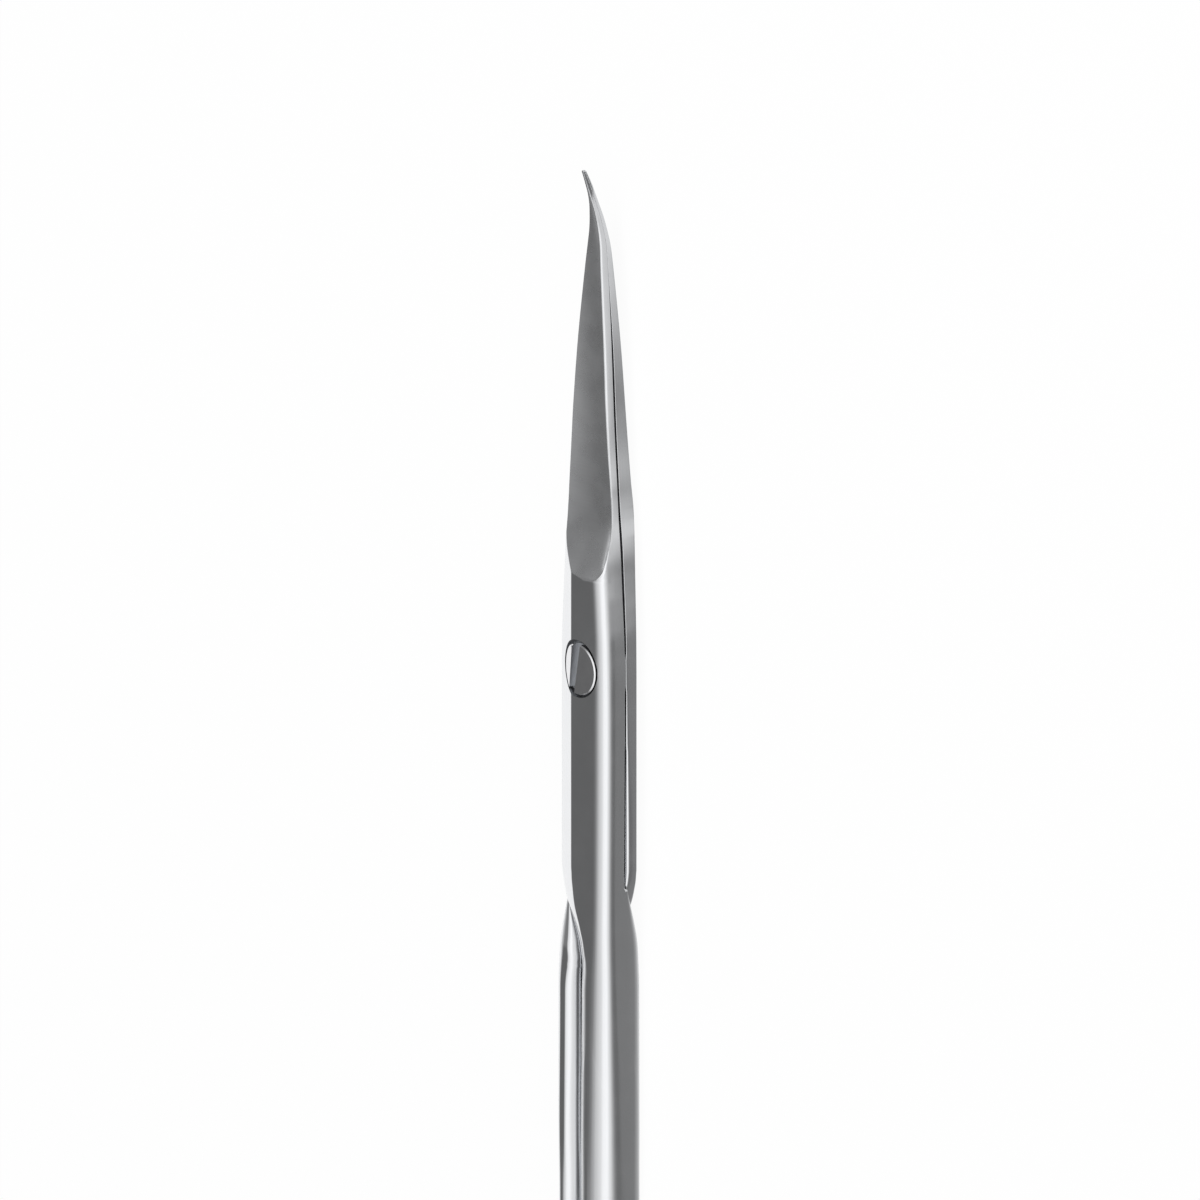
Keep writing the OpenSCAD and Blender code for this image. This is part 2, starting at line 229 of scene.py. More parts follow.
class ArmShape:
    """The forging's outline, profile and ground faces at any place y along its length, in millimetres.
    The near arm has bend 1. The far arm is the same forging turned over, with bend -1."""

    def __init__(self, sizes, bend):
        self.p = p = plain(sizes)
        self.bend = bend
        self.half_w = p.joint_w / 2
        self.shank_in = p.shank_gap / 2
        self.shank_out = self.shank_in + p.shank_w
        self.rise = math.tan(p.facet_angle)
        self.facet_w = (p.arm_t - p.side_h) / self.rise
        self.lap_end = p.shoulder_y + LAP_RUN * p.shoulder_len
        self.ring_y = p.shank_len + p.spread_len + p.ring_l / 2
        self.ring_x = (p.ring_gap + p.ring_w) / 2

    def half_at(self, y):
        return self.half_w * curve(WIDTH_SHAPE, y / self.p.blade_len)

    def curl(self, y):
        return self.p.curl_rise * max(0.0, (y - self.p.blade_len + self.p.curl_len) / self.p.curl_len) ** 2

    def lap_share(self, y):
        return share(-y, self.p.shoulder_y, self.lap_end)

    def far_at(self, y):
        if y > 0:
            return -self.half_at(y)
        if y > -self.p.shank_len:
            return mix(self.shank_in, -self.half_w, curve(LAP_SHAPE, 1 - self.lap_share(y)))
        return mix(self.shank_in, WEB_X, rising(-y, self.p.shank_len, self.p.shank_len + WEB_RUN))

    def near_at(self, y):
        if y > 0:
            return self.half_at(y)
        if y > -self.p.shank_len:
            wider = 0.0 if self.bend > 0 else FAR_WIDER * rising(-y, *WIDENS) * rising(-y, *WIDE_ENDS)
            return mix(self.half_w, self.shank_out, rising(-y, NARROWS_AT, self.lap_end)) + wider
        return self.shank_out

    def under_at(self, y):
        start = self.p.shoulder_y + UNDER_LATE
        return mix(UNDER_START, self.p.arm_t, rising(-y, start, start + self.p.shoulder_len))

    def facet_size(self, y):
        """Width and height of the far side's facet, and how far it has turned into a round."""
        s = rising(self.lap_share(y), 0, 1)
        if y > 0:
            w = max(self.half_at(y) / 2, self.facet_w + self.half_at(y) - self.half_w)
            return w, (self.facet_w if self.bend > 0 else w) * self.rise, 0.0
        w = mix(self.facet_w, FAR_ROUND[0], rising(self.lap_share(y), 0, FACET_TURN))
        return w, mix(w * self.rise, FAR_ROUND[1], s), s

    def round_size(self, y):
        """Width and height of the near side's round."""
        p = self.p
        s = rising(-y, p.shoulder_y, p.shank_len)
        w = mix(p.round_w, NEAR_ROUND[0], s) - ROUND_LESS * rising(-y, *ROUND_NARROWS)
        return min(w, self.half_at(y) * ROUND_PART) if y > 0 else w, mix(p.arm_t - p.near_h, NEAR_ROUND[1], s)

    def lean_at(self, y):
        return self.half_w * curve(LEAN_SHAPE, y / self.p.blade_len)

    def ground_at(self, x, y):
        """Height of the ground face above the meeting plane."""
        p = self.p
        w = self.half_at(y)
        across = (w - x) / (2 * w)
        c = clamp01(across)
        s = y / p.blade_len
        spine = curve(SPINE_SHAPES[0 if self.bend > 0 else 1], s)
        flat = mix(p.ridge_h * curve(RIDGE_SHAPE, s), p.spine_h * spine, across) - GROUND_HOLLOW * w * c * (1 - c)
        first = p.facet_y + RUN_OUT - RUN_OUT_SLANT * c
        last = p.facet_y + RISEN + RISEN_FAR * rising(c, *FAR_PART) + RISEN_NEAR * max(0.0, NEAR_PART - c)
        return flat + RUN_OUT_RISE * max(0.0, (first - y) / (first - last)) ** 3

    def under_z(self, y):
        """Height of the relieved inner face."""
        relief = RELIEF * share(abs(y), *RELIEF_STARTS)
        if y > 0:
            relief = (relief + RELIEF_BLADE * share(y, *BLADE_STARTS)) * rising(y, *RELIEF_ENDS)
        else:
            relief += RELIEF_BEHIND * share(-y, *BEHIND_STARTS)
        return self.p.ride_gap / 2 + relief + self.curl(y)


def add(tree, kind, inputs=None, **settings):
    """One node with its settings, and its inputs as values or links."""
    node = tree.nodes.new(kind)
    for name, value in settings.items():
        setattr(node, name, value)
    for key, value in (inputs or {}).items():
        if isinstance(value, bpy.types.NodeSocket):
            tree.links.new(value, node.inputs[key])
        else:
            node.inputs[key].default_value = value
    return node


def made(bm, name):
    """The mesh of a bmesh whose faces are all there, turned outwards."""
    bmesh.ops.recalc_face_normals(bm, faces=bm.faces)
    mesh = bpy.data.meshes.new(name)
    bm.to_mesh(mesh)
    bm.free()
    return mesh


def taken(piece):
    """The mesh of a piece with its modifiers worked out; the piece itself goes."""
    bpy.context.scene.collection.objects.link(piece)
    graph = bpy.context.evaluated_depsgraph_get()
    mesh = bpy.data.meshes.new_from_object(piece.evaluated_get(graph), depsgraph=graph)
    piece.modifiers.clear()
    bpy.data.objects.remove(piece)
    return mesh


# Points of a section in each stretch between two of its corners, from the far side's foot on
STRETCHES = (5, 8, 6, 14, 6, 12, 5, 5, 10, 5, 8, 5, 7)
AROUND = sum(STRETCHES)
# Radius of each corner in millimetres, in the same order
CORNER_R = (0.05, 0.10, 0.07, 0.03, 0.10, 0.15, 0.15, 0.08, 0.1, 0.1, 0.1, 0.1, 0.06)
# Radius that the far side's foot grows to at the heel, and where it grows
HEEL_R, HEEL_GROWS = 0.4, (-1, 13)
# Place of the cutting edge's corner in the list, its radius there, and where along the blade it gets that sharp
EDGE, EDGE_R, SHARPENS = 7, 0.015, (9, 12)
# Least distance between corners, the share of a stretch beside it that a corner's radius may take, and from how many
# such distances that holds in full
CORNER_GAP, CORNER_SHARE, LIMIT_FROM = 0.03, 0.45, 4
# Where the two points beside a corner lie, in shares of its radius and at most of the stretch
BESIDE = ((0.5, 0.12), (1.1, 0.26))
# Least reach of the averaging, and where the points spread evenly to meet the handle's surface
LEAST_REACH, EVENS_OUT = 0.004, (25, 32)
# Distance between an outline's points, and how many the upper rounds and the ones underneath have
DENSE, ROUND_POINTS, UNDER_POINTS = 0.02, 25, 40
# Underneath: radius of the round outside, width and height of the one inside, and the share both may take
UNDER_R, UNDER_W, UNDER_H, UNDER_FIT = 1.5, 0.56, 1.2, 0.92
# Where the ground face's two corners wait where it isn't there, as a share of the near side and half their distance
IDLE_X, IDLE_HALF = 0.3, 0.15
# A place beyond every side of an arm
BEYOND = 9.0


def resample(points):
    """The same open polyline with its points close together."""
    points = np.asarray(points, float)
    cum = np.concatenate([[0], np.cumsum(np.linalg.norm(np.diff(points, axis=0), axis=1))])
    if cum[-1] < 1e-9:
        return points[:1]
    s = np.linspace(0, cum[-1], max(2, int(cum[-1] / DENSE) + 2))
    return np.stack([np.interp(s, cum, points[:, 0]), np.interp(s, cum, points[:, 1])], axis=1)


def outline(shape, y):
    """The sharp-cornered cross-section at y as one dense closed polyline, and the places of its corners."""
    p = shape.p
    far, near, lean, top = shape.far_at(y), shape.near_at(y), shape.lean_at(y), p.arm_t
    fw, fh, q = shape.facet_size(y)
    rw, rh = shape.round_size(y)
    foot = shape.under_z(y) - shape.curl(y)
    step_x = p.shoulder_gap - far if y < -p.shoulder_y else BEYOND
    full = step_x <= far
    u = np.linspace(0, 1, ROUND_POINTS)
    cos, sin = np.cos(u * np.pi / 2), np.sin(u * np.pi / 2)
    far_c = np.stack([far + fw * mix(u, 1 - cos, q), top - fh * mix(1 - u, 1 - sin, q)], axis=1)
    near_c = np.stack([near - lean - rw * (1 - sin), top - rh * (1 - cos)], axis=1)
    start = (far, 0.0 if full else foot)
    mid = (near, foot if step_x >= near else 0.0)
    runs = [resample(r) for r in ([start, far_c[0]], far_c, [far_c[-1], near_c[0]], near_c, [near_c[-1], mid])]
    marks = list(np.cumsum([0] + [len(r) for r in runs]))
    upper = np.concatenate(runs)
    f1, f2, f5, f6 = marks[1], marks[2], marks[3], marks[4]
    ground = None
    if y > p.facet_y - 1:
        heights = np.array([shape.ground_at(x, y) for x in upper[:, 0]])
        above = np.nonzero(upper[:, 1] > heights)[0]
        if len(above) > 1:
            ground = (above[0], above[-1])
    if ground:
        a, b = ground
        xs = np.linspace(upper[a, 0], upper[b, 0], max(8, int((upper[b, 0] - upper[a, 0]) / DENSE)))
        face = np.array([(x, shape.ground_at(x, y)) for x in xs])
        cut = len(face) - (b - a + 1)
        upper = np.concatenate([upper[:a], face, upper[b + 1:]])
        f1, f2, f3, f4 = min(f1, a), min(f2, a), a, a + len(face) - 1
        f5, f6 = max(f5 + cut, f4), max(f6 + cut, f4)
    else:
        f3, f4 = (int(np.argmin(np.abs(upper[:f5 + 1, 0] - IDLE_X * near - d))) for d in (-IDLE_HALF, IDLE_HALF))
    f7 = len(upper) - 1
    if step_x >= near:
        path = np.concatenate([upper, resample([mid, (far, foot)])[:-1]])
        return path, [0, f1, f2, f3, f4, f5, f6] + [f7] * 6
    k = shape.under_at(y) / top
    wall_x = far if full else max(step_x, shape.shank_in)
    fit = min(1.0, UNDER_FIT * (near - wall_x) / (UNDER_R + UNDER_W))
    near_w, wall_w = UNDER_R * fit, UNDER_W * fit
    u = np.linspace(0, 1, UNDER_POINTS)
    arc = 1 - np.sqrt(1 - u ** 2)
    near_u = np.stack([near - near_w * (1 - u[::-1]), -k * (top - UNDER_R * arc[::-1])], axis=1)
    wall_u = np.stack([wall_x + wall_w * (1 - u), -k * (top - UNDER_H * arc)], axis=1)
    base = (wall_x, 0.0 if full else foot)
    runs = [resample(r) for r in ([mid, near_u[0]], near_u, [near_u[-1], wall_u[0]], wall_u, [wall_u[-1], base],
                                  [base, start])]
    marks = list(np.cumsum([len(upper)] + [len(r) for r in runs[:-1]]))
    path = np.concatenate([upper] + runs)[:-1]
    return path, [0, f1, f2, f3, f4, f5, f6, f7] + [int(m) for m in marks[1:]]


def section(shape, y):
    """One closed cross-section of AROUND points, from the far side's foot over the top and back underneath.
    Corners are rounded by averaging the outline over a short length around each point."""
    path, corners = outline(shape, y)
    loop = np.vstack([path, path[:1]])
    seg = np.linalg.norm(np.diff(loop, axis=0), axis=1)
    keep = np.concatenate([[True], seg > 1e-9])
    cum_all = np.concatenate([[0], np.cumsum(seg)])
    total = cum_all[-1]
    places = [cum_all[min(c, len(cum_all) - 1)] for c in corners]
    loop, cum = loop[keep], cum_all[keep]
    gap = min(CORNER_GAP, total / 50)
    for i in range(1, len(places)):
        places[i] = max(places[i], places[i - 1] + gap)
    places.append(total)
    for i in range(len(places) - 2, 0, -1):
        places[i] = min(places[i], places[i + 1] - gap)
    radii = list(CORNER_R)
    radii[EDGE] = mix(radii[EDGE], EDGE_R, rising(y, *SHARPENS))
    radii[0] = mix(radii[0], HEEL_R, rising(-y, *HEEL_GROWS))
    radii.append(radii[0])
    spans = [b - a for a, b in zip(places, places[1:])]
    for i in range(len(radii)):
        for span in (spans[i - 1], spans[i % len(spans)]):
            radii[i] = min(radii[i], CORNER_SHARE * span / max(1e-3, share(span, gap, LIMIT_FROM * gap)))
    at = []
    for i, n in enumerate(STRETCHES):
        a1, a2, b1, b2 = (min(r * radii[k], t * spans[i]) for k in (i, i + 1) for r, t in BESIDE)
        steps = [0, a1] + [mix(a2, spans[i] - b2, j / (n - 4)) for j in range(n - 3)] + [spans[i] - b1]
        at += [places[i] + t for t in steps]
    at = np.array(at)
    even = rising(-y, *EVENS_OUT)
    if even > 0:
        middles = [(places[i] + places[i + 1]) / 2 for i in (1, 5, 8, 10)]
        n8 = AROUND // 8
        anchors = [0] + middles[:2] + [places[7]] + middles[2:] + [total]
        spread = np.interp(np.arange(AROUND), [0, n8, 3 * n8, 4 * n8, 5 * n8, 7 * n8, 8 * n8], anchors)
        at = mix(at, spread, even)
    half = np.maximum(np.interp(at, places, radii), LEAST_REACH)
    longer = np.concatenate([loop[:-1], loop[:-1], loop])
    reach = np.concatenate([cum[:-1] - total, cum[:-1], cum + total])
    area = np.concatenate([[[0, 0]], np.cumsum((longer[1:] + longer[:-1]) / 2 * np.diff(reach)[:, None], axis=0)])

    def summed(s):
        i = np.clip(np.searchsorted(reach, s) - 1, 0, len(reach) - 2)
        d = s - reach[i]
        w = np.maximum(reach[i + 1] - reach[i], 1e-12)
        here = longer[i] + (longer[i + 1] - longer[i]) * (d / w)[:, None]
        return area[i] + (longer[i] + here) / 2 * d[:, None]

    flat = (summed(at + half) - summed(at - half)) / (2 * half)[:, None]
    lift = shape.bend * shape.curl(y)
    return np.stack([flat[:, 0], np.full(AROUND, y), flat[:, 1] + lift], axis=1)


# Distance of a shank's inner wall from the middle, how far it leans over at the top, and where it does
INNER_GAP, INNER_LEAN, INNER_LEAN_MORE = 0.2, 0.62, 0.8
LEANS, LEANS_MORE, LEAN_ENDS = (17.5, 22.5), (23, 37), (52, 42)


def slant(shape, x, y, z):
    """How far a point moves sideways because a shank's inner wall leans over the middle towards the top."""
    inner = share(x, shape.shank_out, shape.shank_in)
    lean = mix(INNER_LEAN, INNER_LEAN_MORE, share(-y, *LEANS_MORE))
    return rising(-y, *LEANS) * rising(-y, *LEAN_ENDS) * inner * (INNER_GAP - lean * z / shape.p.arm_t)


# Where the shank becomes part of the handle's surface, and the length over which the two meet
HANDLE_Y, MEET_RUN = -36.0, 4.0
# Points round the ring, its stock and the shank's cage, and how much wider the ring's cage is, as smoothing shrinks it
RING_STEPS, STOCK_STEPS, CAGE_AROUND, CAGE_SWELL = 60, 16, 24, 1.021
# Steps of the ring that open where the web joins it, the length of the shank in the handle's surface, loops of
# points in that length and in the web, and how far the web turns towards the rings at its side
PATCH, JOIN_RUN, SHANK_LOOPS, WEB_LOOPS, WEB_TURN = (20, 26), 5.5, 5, 5, 0.75
# Length of the tip's rounded end and how much its section shrinks
TIP_ROUND, TIP_TAPER = 0.13, 0.9


def stations(shape):
    """Places of the sections from the tip back to where the handle's surface takes over."""
    p = shape.p
    # Each place with the number of sections up to the next
    stops = [(p.blade_len, 6), (p.blade_len - TIP_ROUND, 34), (p.blade_len - 6.3, 34), (12.6, 66), (5.4, 8),
             (2.8, 4), (1.5, 5), (0.8, 3), (-0.8, 5), (-1.5, 6), (-4.8, 6), (-5.8, 14), (-p.shoulder_y, 62),
             (-shape.lap_end - 0.6, 26), (HANDLE_Y, 1)]
    return [mix(a, b, i / n) for (a, n), (b, _) in zip(stops, stops[1:]) for i in range(n)] + [HANDLE_Y]


def ring_stock_tree():
    """Geometry Nodes tree of an oval ring: its stock's section carried round an oval path."""
    tree = bpy.data.node_groups.new("Oval ring stock", "GeometryNodeTree")
    face = tree.interface
    face.new_socket("Geometry", in_out="INPUT", socket_type="NodeSocketGeometry")
    for name, default in (("Path half width", 10.5), ("Path half length", 13.0), ("Stock half width", 1.5),
                          ("Stock half height", 1.9)):
        face.new_socket(name, in_out="INPUT", socket_type="NodeSocketFloat").default_value = default
    for name, default in (("Steps around", RING_STEPS), ("Steps round the stock", STOCK_STEPS)):
        face.new_socket(name, in_out="INPUT", socket_type="NodeSocketInt").default_value = default
    face.new_socket("Material", in_out="INPUT", socket_type="NodeSocketMaterial")
    face.new_socket("Geometry", in_out="OUTPUT", socket_type="NodeSocketGeometry")
    given = add(tree, "NodeGroupInput").outputs
    ovals = []
    for steps, wide, tall in (("Steps around", "Path half width", "Path half length"),
                              ("Steps round the stock", "Stock half width", "Stock half height")):
        circle = add(tree, "GeometryNodeCurvePrimitiveCircle", {"Resolution": given[steps], "Radius": 1.0})
        scale = add(tree, "ShaderNodeCombineXYZ", {"X": given[wide], "Y": given[tall], "Z": 1.0})
        ovals.append(add(tree, "GeometryNodeTransform", {"Geometry": circle.outputs["Curve"],
                                                         "Scale": scale.outputs["Vector"]}).outputs["Geometry"])
    path = add(tree, "GeometryNodeSetCurveNormal", {"Curve": ovals[0]}, mode="Z_UP")
    swept = add(tree, "GeometryNodeCurveToMesh", {"Curve": path.outputs["Curve"], "Profile Curve": ovals[1]})
    real = add(tree, "GeometryNodeRealizeInstances", {"Geometry": swept.outputs["Mesh"]})
    dressed = add(tree, "GeometryNodeSetMaterial", {"Geometry": real.outputs["Geometry"],
                                                    "Material": given["Material"]})
    add(tree, "NodeGroupOutput", {"Geometry": dressed.outputs["Geometry"]})
    return tree


def ring_stock(shape, material):
    """The oval ring's cage, as a mesh whose points run round the stock, then round the ring."""
    p = shape.p
    tree = bpy.data.node_groups.get("Oval ring stock") or ring_stock_tree()
    piece = bpy.data.objects.new("ring_stock", bpy.data.meshes.new("ring_stock"))
    sizes = {"Path half width": (p.ring_w - p.stock_w) / 2, "Path half length": (p.ring_l - p.stock_w) / 2,
             "Stock half width": p.stock_w / 2 * CAGE_SWELL, "Stock half height": p.arm_t * CAGE_SWELL,
             "Steps around": RING_STEPS, "Steps round the stock": STOCK_STEPS, "Material": material}
    inputs = {item.name: item.identifier for item in tree.interface.items_tree if item.in_out == "INPUT"}
    modifier = piece.modifiers.new("Ring stock", "NODES")
    modifier.node_group = tree
    for name, value in sizes.items():
        modifier[inputs[name]] = value
    mesh = taken(piece)
    mesh.transform(Matrix.Translation((shape.ring_x, -shape.ring_y, 0)))
    return mesh


def outward(shape, k):
    """Direction straight out of the ring at one of its steps."""
    a = 2 * math.pi * k / RING_STEPS
    p = shape.p
    return Vector(((p.ring_l - p.stock_w) * math.cos(a), (p.ring_w - p.stock_w) * math.sin(a), 0)).normalized()


def handle_mesh(shape, material):
    """The ring, the web that spreads into it and the end of the shank, as one subdivided surface in millimetres."""
    stock = ring_stock(shape, material)
    bm = bmesh.new()
    bm.from_mesh(stock)
    bpy.data.meshes.remove(stock)
    bm.verts.ensure_lookup_table()
    turned = -1 if bm.verts[1].co.z < 0 else 1
    ring = [[bm.verts[k * STOCK_STEPS + turned * j % STOCK_STEPS] for j in range(STOCK_STEPS)]
            for k in range(RING_STEPS)]
    if max(range(STOCK_STEPS), key=lambda j: ring[0][j].co.x) != 0:
        raise RuntimeError("the ring's stock doesn't start on its outside")
    low, high = PATCH
    quarter = CAGE_AROUND // 8
    for k in range(low + 1, high):
        for j in range(-quarter + 1, quarter):
            bm.verts.remove(ring[k][j])
    mouth = ([(high, j) for j in range(0, quarter)] + [(k, quarter) for k in range(high, low, -1)]
             + [(low, j) for j in range(quarter, -quarter, -1)] + [(k, -quarter) for k in range(low, high)]
             + [(high, j) for j in range(-quarter, 0)])
    loops = [[ring[k][j] for k, j in mouth]]
    join_y = HANDLE_Y - JOIN_RUN
    step = AROUND // CAGE_AROUND
    join = [Vector(c) for c in section(shape, join_y)[::step]]
    for i in range(WEB_LOOPS - 1, 0, -1):
        t = i / WEB_LOOPS
        h = (2 * t ** 3 - 3 * t ** 2 + 1, t ** 3 - 2 * t ** 2 + t, -2 * t ** 3 + 3 * t ** 2, t ** 3 - t ** 2)
        loop = []
        for m, (k, j) in enumerate(mouth):
            side = (k - low) / (high - low)
            inward = (-outward(shape, k)).lerp(Vector((0, -1, 0)), WEB_TURN * side).normalized()
            end = ring[k][j].co
            span = (end - join[m]).length
            loop.append(bm.verts.new(join[m] * h[0] + Vector((0, -1, 0)) * span * h[1]
                                     + end * h[2] + inward * span * h[3]))
        loops.append(loop)
    for y in np.linspace(join_y, HANDLE_Y, SHANK_LOOPS):
        loops.append([bm.verts.new(c) for c in section(shape, float(y))[::step]])
    for a, b in zip(loops, loops[1:]):
        for m in range(CAGE_AROUND):
            n = (m + 1) % CAGE_AROUND
            bm.faces.new([a[m], a[n], b[n], b[m]])
    piece = bpy.data.objects.new("handle", made(bm, "handle"))
    smooth = piece.modifiers.new("Smooth", "SUBSURF")
    smooth.levels = smooth.render_levels = 2
    return taken(piece)


# Places of the finishes in an arm's list
GROUND, INNER, BORED = 1, 2, 3
# Where the ground finish starts past its face's start, where it ends before the tip, and where the inner one starts
GROUND_FROM, GROUND_TO, INNER_FROM = 0.22, 1.4, 2.6


def arm_mesh(shape, material):
    """One whole arm in millimetres about the pivot, before its holes are bored."""
    bm = bmesh.new()
    handle = handle_mesh(shape, material)
    bm.from_mesh(handle)
    bpy.data.meshes.remove(handle)
    edge = [e for e in bm.edges if e.is_boundary]
    start = section(shape, HANDLE_Y)
    order = []
    v = min({v for e in edge for v in e.verts}, key=lambda v: (v.co - Vector(start[0])).length)
    last = None
    while len(order) < len(edge):
        order.append(v)
        nexts = [e.other_vert(v) for e in v.link_edges if e.is_boundary]
        if last is None:
            w = min(nexts, key=lambda w: (w.co - Vector(start[1])).length)
        else:
            w = nexts[0] if nexts[1] is last else nexts[1]
        last, v = v, w
    if len(order) != AROUND:
        raise RuntimeError(f"the handle's open end has {len(order)} points, not {AROUND}")
    shift = np.array([v.co for v in order]) - start
    rings = []
    p = shape.p
    places = stations(shape)
    for y in places[:-1]:
        near_handle = rising(-y, -HANDLE_Y - MEET_RUN, -HANDLE_Y)
        points = section(shape, y) + shift * near_handle * np.array((1, 0, 1))
        end = share(y, p.blade_len - TIP_ROUND, p.blade_len)
        centre = points.mean(axis=0)
        rings.append([bm.verts.new(c) for c in centre + (points - centre) * math.sqrt(1 - TIP_TAPER * end ** 2)])
    rings.append(order)
    ground, inside = (sum(STRETCHES[:3]), sum(STRETCHES[:4])), sum(STRETCHES[:7])
    for i, (a, b) in enumerate(zip(rings, rings[1:])):
        for m in range(AROUND):
            n = (m + 1) % AROUND
            face = bm.faces.new([a[m], a[n], b[n], b[m]])
            if ground[0] <= m < ground[1] and p.facet_y + GROUND_FROM < places[i + 1] < p.blade_len - GROUND_TO:
                face.material_index = GROUND
            elif m >= inside and places[i + 1] > INNER_FROM:
                face.material_index = INNER
    bm.faces.new(rings[0])
    for v in bm.verts:
        v.co.x += slant(shape, *v.co)
    return made(bm, "arm")


# Points round a bore and round the screw
TURNED_STEPS = 96


def lathed(profile):
    """A closed turned body from a profile of (radius, height) pairs that starts and ends on the axis."""
    bm = bmesh.new()
    low, high = bm.verts.new((0, 0, profile[0][1])), bm.verts.new((0, 0, profile[-1][1]))
    round_axis = [(math.cos(a), math.sin(a)) for a in (2 * math.pi * k / TURNED_STEPS for k in range(TURNED_STEPS))]
    rows = [[bm.verts.new((r * x, r * y, z)) for x, y in round_axis] for r, z in profile[1:-1]]
    for k in range(TURNED_STEPS):
        n = (k + 1) % TURNED_STEPS
        bm.faces.new([low, rows[0][n], rows[0][k]])
        bm.faces.new([high, rows[-1][k], rows[-1][n]])
        for a, b in zip(rows, rows[1:]):
            bm.faces.new([a[k], a[n], b[n], b[k]])
    return made(bm, "turned")


def prism(points, y0, y1):
    """A closed bar along Y from an outline of (x, z) pairs."""
    bm = bmesh.new()
    ends = [[bm.verts.new((x, y, z)) for x, z in points] for y in (y0, y1)]
    for end in ends:
        bm.faces.new(end)
    for k in range(len(points)):
        n = (k + 1) % len(points)
        bm.faces.new([ends[0][k], ends[0][n], ends[1][n], ends[1][k]])
    return made(bm, "bar")


def cut(mesh, cutters):
    """The mesh with the cutters' shapes taken out of it."""
    piece = bpy.data.objects.new("cut", mesh)
    tools = []
    for cutter in cutters:
        tool = bpy.data.objects.new("cutter", cutter)
        bpy.context.scene.collection.objects.link(tool)
        tools.append(tool)
        taking = piece.modifiers.new("Cut", "BOOLEAN")
        taking.operation, taking.solver, taking.object = "DIFFERENCE", "EXACT", tool
    done = taken(piece)
    for tool in tools:
        bpy.data.objects.remove(tool)
    return done


def dress(mesh, materials, index):
    """Gives a mesh its list of finishes, and one of them to all its faces."""
    for material in materials:
        mesh.materials.append(material)
    for face in mesh.polygons:
        face.material_index = index


# How far the screw's seat lies off its bore towards the tips, the chamfers round its head and its other edges, and
# how far a tool that cuts right through reaches
SEAT_OFF, RIM, SOFT, THROUGH = 0.08, 0.08, 0.08, 5.0


def bored_arm(shape, materials):
    """One arm, forged, ground and bored, in millimetres about the pivot."""
    p = shape.p
    mesh = arm_mesh(shape, materials[0])
    for material in materials:
        mesh.materials.append(material)
    bore = p.bore_r if shape.bend > 0 else p.hole_r
    cutters = [lathed([(0, -THROUGH), (bore, -THROUGH), (bore, THROUGH), (0, THROUGH)])]
    if shape.bend > 0:
        cutters.append(lathed([(0, p.seat_z), (p.seat_r, p.seat_z), (p.seat_r, THROUGH), (0, THROUGH)]))
        cutters[1].transform(Matrix.Translation((0, SEAT_OFF, 0)))
    for cutter in cutters:
        dress(cutter, materials, BORED)
    return cut(mesh, cutters)


def screw_mesh(shape, materials):
    """The pivot screw: threaded end, shoulder, and a slotted head ground off with the arm."""
    p = shape.p
    low, seat, step = p.end_gap - p.arm_t, p.seat_z + p.ride_gap, p.ride_gap / 2
    body = lathed([(0, low), (p.end_r - SOFT, low), (p.end_r, low + SOFT), (p.end_r, step), (p.neck_r, step),
                   (p.neck_r, seat), (p.head_r - SOFT / 2, seat), (p.head_r, seat + SOFT / 2),
                   (p.head_r, p.arm_t - RIM), (p.head_r - RIM, p.arm_t), (0, p.arm_t)])
    edge, over = -shape.half_w + shape.facet_w, 2.0
    above = prism([(-BEYOND, p.arm_t - (edge + BEYOND) * shape.rise), (edge + over, p.arm_t + over * shape.rise),
                   (edge + over, BEYOND), (-BEYOND, BEYOND)], -BEYOND, BEYOND)
    left, right, floor = -p.slot_off - p.slot_w / 2, -p.slot_off + p.slot_w / 2, p.arm_t - p.slot_d
    slot = prism([(left, floor), (right, floor), (right, BEYOND), (left, BEYOND)], -BEYOND, BEYOND)
    slot.transform(Matrix.Rotation(-p.slot_turn, 4, "Z"))
    for piece, index in ((body, 0), (above, 0), (slot, 1)):
        dress(piece, materials, index)
    return cut(body, [above, slot])


